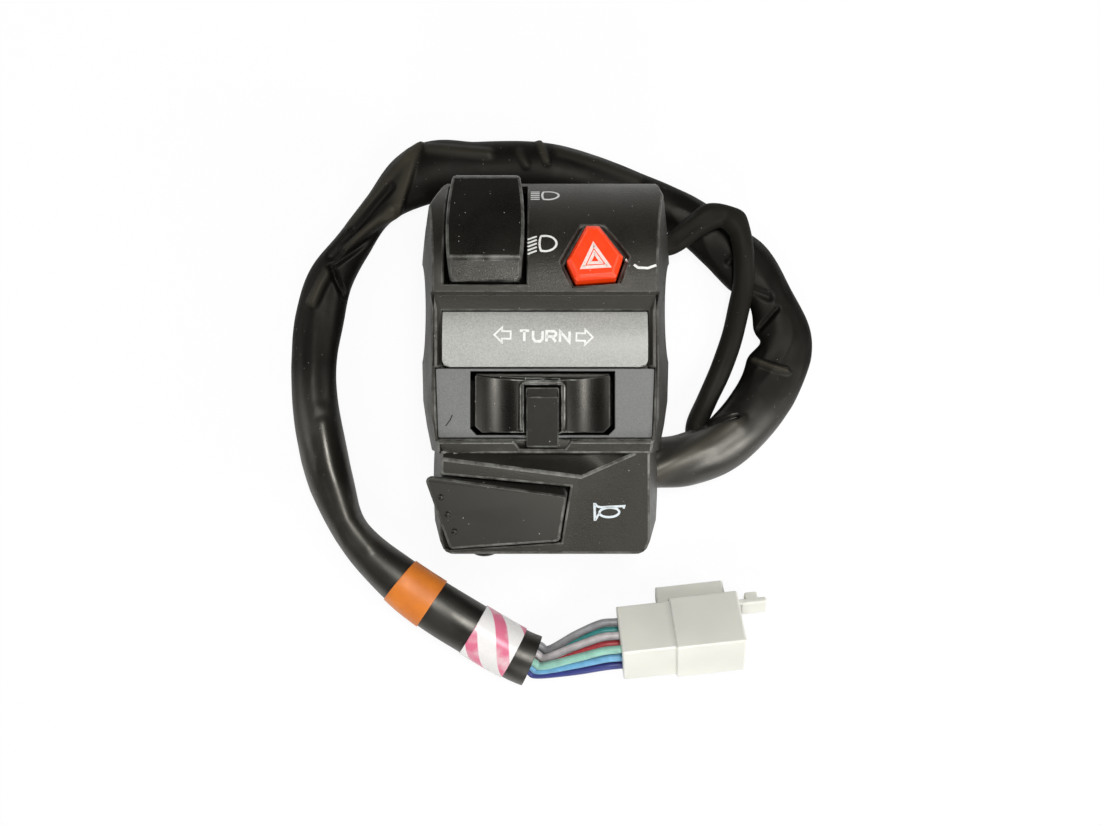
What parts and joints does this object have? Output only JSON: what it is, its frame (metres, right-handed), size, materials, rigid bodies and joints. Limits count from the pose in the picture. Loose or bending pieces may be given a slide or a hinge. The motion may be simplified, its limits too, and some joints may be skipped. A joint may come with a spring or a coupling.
{
  "type": "handlebar switch cluster",
  "caption": "Clamp-on handlebar switch pod with dimmer rocker, hazard button, self-centring turn rocker, push-to-cancel knob, horn paddle and a sleeved harness ending in a connector.",
  "frame": {"origin": "centre of the handlebar bore", "axes": "+X along the bar to the harness side, +Y to the dimmer end, +Z out of the face"},
  "size_m": [0.1194, 0.1246, 0.0471],
  "materials": {
    "housing_black": "fine grain",
    "panel_grey": "satin, fine grain",
    "bezel_grey": "satin, fine grain",
    "cap_black": "semi-gloss",
    "hazard_red": "gloss",
    "carrier_black": "plain",
    "switch_nylon": "plain",
    "steel": "zinc plated",
    "brass": "plain",
    "sleeve_black": "shiny soft vinyl",
    "gland_rubber": "matt",
    "tape_orange": "satin tape",
    "tape_white": "glossy tape",
    "wire_vinyl": "vinyl in several colours",
    "nylon_clear": "milky, see-through"
  },
  "bodies": {
    "housing": {"front_housing": "housing_black", "rear_housing": "housing_black", "legend_panel": "panel_grey", "turn_bezel": "bezel_grey", "housing_screws": "steel", "carrier_screws": "steel", "dimmer_pin": "steel", "dimmer_carrier": "carrier_black", "dimmer_contacts": "brass", "hazard_spring": "steel", "hazard_switch_body": "switch_nylon", "hazard_contacts": "brass", "turn_pins": "steel", "turn_springs": "steel", "turn_carrier": "carrier_black", "turn_contacts": "brass", "cancel_spring": "steel", "horn_pin": "steel", "horn_spring": "steel", "horn_carrier": "carrier_black", "horn_contacts": "brass", "harness_gland": "gland_rubber", "branch_gland": "gland_rubber", "main_sleeve": "sleeve_black", "branch_sleeve": "sleeve_black", "orange_tape": "tape_orange", "marker_tape": "tape_white", "wires": "wire_vinyl", "connector_housing": "nylon_clear", "connector_terminals": "brass"},
    "dimmer": {"dimmer_rocker": "cap_black", "dimmer_plunger": "brass", "dimmer_spring": "steel"},
    "hazard": {"hazard_button": "hazard_red"},
    "turn": {"turn_rocker": "cap_black", "turn_wiper": "brass"},
    "cancel": {"cancel_knob": "cap_black"},
    "horn": {"horn_paddle": "cap_black", "horn_bridge": "brass"}
  },
  "joints": [
    {"name": "dimmer_tilt", "type": "hinge", "parent": "housing", "child": "dimmer", "pos_m": [-0.012, 0.0162, 0.0156], "axis": [-1, 0, 0], "range_deg": [0, 18]},
    {"name": "hazard_press", "type": "slide", "parent": "housing", "child": "hazard", "axis": [0, -0.2419, -0.9703], "range_m": [0, 0.0022], "stiffness_N_per_m": 300, "springref_m": -0.002, "deforming": ["hazard_spring"]},
    {"name": "turn_tilt", "type": "hinge", "parent": "housing", "child": "turn", "pos_m": [-0.0005, -0.0195, 0.0185], "axis": [0, 1, 0], "range_deg": [-9, 9], "stiffness_Nm_per_rad": 0.1, "deforming": ["turn_springs", "cancel_spring"]},
    {"name": "cancel_press", "type": "slide", "parent": "turn", "child": "cancel", "axis": [0, 0, -1], "range_m": [0, 0.0016], "stiffness_N_per_m": 300, "springref_m": -0.002, "deforming": ["cancel_spring"]},
    {"name": "horn_press", "type": "hinge", "parent": "housing", "child": "horn", "pos_m": [0, -0.042, 0.0203], "axis": [0, -1, 0], "range_deg": [0, 6], "stiffness_Nm_per_rad": 0.15, "springref_deg": -11.46, "deforming": ["horn_spring"]}
  ]
}
